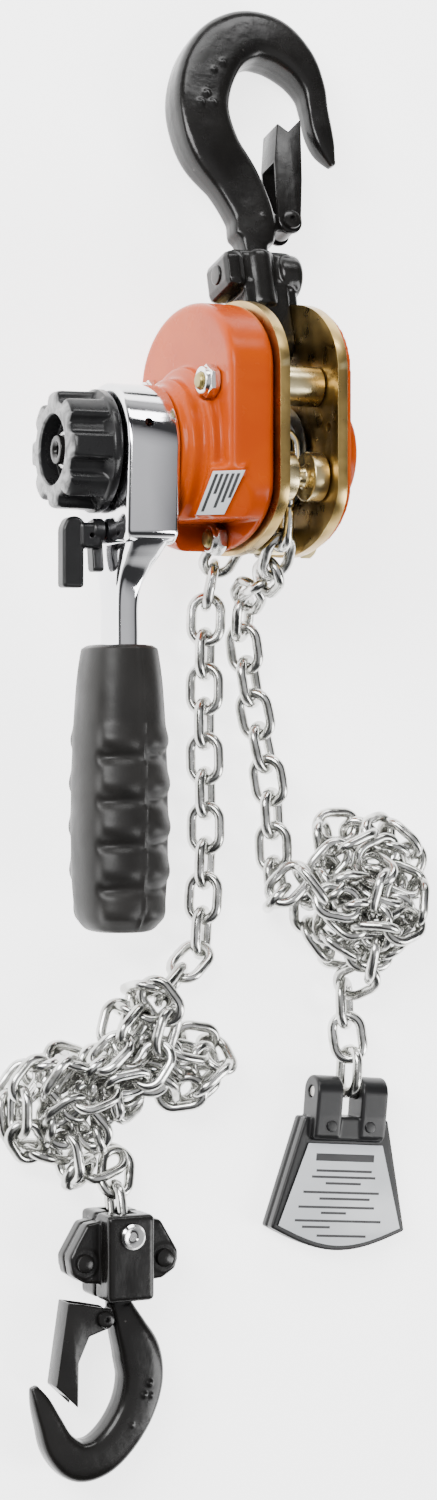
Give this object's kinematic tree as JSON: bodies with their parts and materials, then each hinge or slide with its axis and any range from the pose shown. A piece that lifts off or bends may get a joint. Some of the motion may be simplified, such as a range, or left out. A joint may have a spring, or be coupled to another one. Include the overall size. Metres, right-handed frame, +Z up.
{
  "type": "ratchet lever chain hoist",
  "caption": "Small hand lever chain hoist with brake cover, geared sheave, round-link chain, swivel hooks with latches and a tag on the slack end.",
  "frame": {"origin": "on the surface that the hoist lies on, under the middle of the box round the hoist without its free chain, bottom hook and tag", "axes": "+Y from the bottom hook to the top hook, +Z up from the surface, +X along the drive axis from the hand wheel to the gear cover"},
  "size_m": [0.1609, 0.5008, 0.077],
  "materials": {
    "yellow_zinc": "yellow passivated zinc plate, satin",
    "orange_enamel": "glossy orange stove enamel",
    "bright_zinc": "bright zinc plate",
    "chain_zinc": "bright zinc plate on welded links",
    "plain_steel": "machined, lightly oiled",
    "polished_chrome": "polished",
    "black_forging": "glossy black paint over a forging",
    "black_plastic": "moulded, satin",
    "grip_rubber": "moulded, semi-matt",
    "brake_lining": "pressed lining, matt",
    "label_film": "grey film"
  },
  "bodies": {
    "frame": {"left_side_plate": "yellow_zinc", "right_side_plate": "yellow_zinc", "stay_sleeve_front": "yellow_zinc", "stay_sleeve_back": "yellow_zinc", "stay_sleeve_bottom": "yellow_zinc", "brake_cover": "orange_enamel", "gear_cover": "orange_enamel", "left_sheave_bearing": "plain_steel", "right_sheave_bearing": "plain_steel", "load_pin": "plain_steel", "chain_stripper": "plain_steel", "stay_bolt_front": "bright_zinc", "stay_nut_front": "bright_zinc", "stay_bolt_back": "bright_zinc", "stay_nut_back": "bright_zinc", "stay_bolt_bottom": "bright_zinc", "stay_nut_bottom": "bright_zinc", "rating_label": "label_film", "pawl_pin": "plain_steel", "bottom_block_front": "black_forging", "bottom_block_back": "black_forging", "block_rivet_left": "black_forging", "block_rivet_right": "black_forging", "block_chain_pin": "bright_zinc", "tag_body": "black_plastic", "tag_pin": "plain_steel", "tag_plate": "label_film", "chain_on_sheave": "chain_zinc", "chain_slack_run": "chain_zinc", "chain_slack_heap": "chain_zinc", "chain_slack_end": "chain_zinc", "chain_load_run": "chain_zinc", "chain_load_heap": "chain_zinc", "chain_load_end": "chain_zinc"},
    "drive_line": {"drive_shaft": "plain_steel", "brake_hub": "plain_steel", "inner_friction_disc": "brake_lining", "ratchet_disc": "plain_steel", "outer_friction_disc": "brake_lining", "change_gear": "plain_steel", "hand_wheel": "black_plastic", "shaft_nut": "plain_steel"},
    "sheave": {"load_sheave": "plain_steel", "load_gear": "plain_steel"},
    "reduction_front": {"reduction_gear_front": "plain_steel"},
    "reduction_back": {"reduction_gear_back": "plain_steel"},
    "front_roller": {"front_guide_roller": "yellow_zinc"},
    "back_roller": {"back_guide_roller": "yellow_zinc"},
    "pawl": {"brake_pawl": "plain_steel"},
    "lever": {"lever_housing": "polished_chrome", "lever_grip": "grip_rubber"},
    "selector": {"selector_knob": "black_plastic", "change_pawl": "plain_steel"},
    "yoke": {"top_yoke": "black_forging"},
    "upper_hook": {"top_hook": "black_forging", "top_latch_rivet": "black_forging"},
    "upper_latch": {"top_latch": "black_forging"},
    "lower_hook": {"bottom_hook": "black_forging", "bottom_latch_rivet": "black_forging"},
    "lower_latch": {"bottom_latch": "black_forging"}
  },
  "joints": [
    {"name": "drive_turn", "type": "hinge", "parent": "frame", "child": "drive_line", "pos_m": [0.02002, 0.00048, 0.0385], "axis": [1, 0, 0], "continuous": true},
    {"name": "sheave_turn", "type": "hinge", "parent": "frame", "child": "sheave", "pos_m": [0.02002, 0.00048, 0.0385], "axis": [1, 0, 0], "continuous": true},
    {"name": "front_reduction_turn", "type": "hinge", "parent": "frame", "child": "reduction_front", "pos_m": [0.02002, 0.00048, 0.0553], "axis": [1, 0, 0], "continuous": true},
    {"name": "back_reduction_turn", "type": "hinge", "parent": "frame", "child": "reduction_back", "pos_m": [0.02002, 0.00048, 0.0217], "axis": [1, 0, 0], "continuous": true},
    {"name": "front_roller_turn", "type": "hinge", "parent": "frame", "child": "front_roller", "pos_m": [0.02002, -0.00752, 0.0645], "axis": [1, 0, 0], "continuous": true},
    {"name": "back_roller_turn", "type": "hinge", "parent": "frame", "child": "back_roller", "pos_m": [0.02002, -0.00752, 0.0125], "axis": [1, 0, 0], "continuous": true},
    {"name": "pawl_lift", "type": "hinge", "parent": "frame", "child": "pawl", "pos_m": [0.02002, 0.03098, 0.045], "axis": [1, 0, 0], "range_deg": [0, 12], "stiffness_Nm_per_rad": 0.01, "springref_deg": -17.19},
    {"name": "lever_swing", "type": "hinge", "parent": "frame", "child": "lever", "pos_m": [0.02002, 0.00048, 0.0385], "axis": [-1, 0, 0], "continuous": true},
    {"name": "selector_tilt", "type": "hinge", "parent": "lever", "child": "selector", "pos_m": [0.02002, -0.02552, 0.0385], "axis": [1, 0, 0], "range_deg": [-20, 20]},
    {"name": "yoke_swing", "type": "hinge", "parent": "frame", "child": "yoke", "pos_m": [0.02002, 0.03948, 0.0385], "axis": [1, 0, 0], "range_deg": [-3, 36]},
    {"name": "top_hook_swivel", "type": "hinge", "parent": "yoke", "child": "upper_hook", "pos_m": [0.02002, 0.03948, 0.0385], "axis": [0, 0.9636, -0.2672], "continuous": true},
    {"name": "top_latch_open", "type": "hinge", "parent": "upper_hook", "child": "upper_latch", "pos_m": [0.03342, 0.08111, 0.02695], "axis": [0, 0.2672, 0.9636], "range_deg": [0, 16], "stiffness_Nm_per_rad": 0.05, "springref_deg": -28.65},
    {"name": "bottom_hook_swivel", "type": "hinge", "parent": "frame", "child": "lower_hook", "pos_m": [-0.02198, -0.27752, 0.0125], "axis": [0, 1, 0], "continuous": true},
    {"name": "bottom_latch_open", "type": "hinge", "parent": "lower_hook", "child": "lower_latch", "pos_m": [-0.02858, -0.28902, 0.0125], "axis": [0, 0, 1], "range_deg": [0, 16], "stiffness_Nm_per_rad": 0.05, "springref_deg": -28.65}
  ],
  "couplings": [
    {"joint": "sheave_turn", "follows": "drive_turn", "ratio": 0.16},
    {"joint": "front_reduction_turn", "follows": "drive_turn", "ratio": -0.4},
    {"joint": "back_reduction_turn", "follows": "drive_turn", "ratio": -0.4}
  ]
}
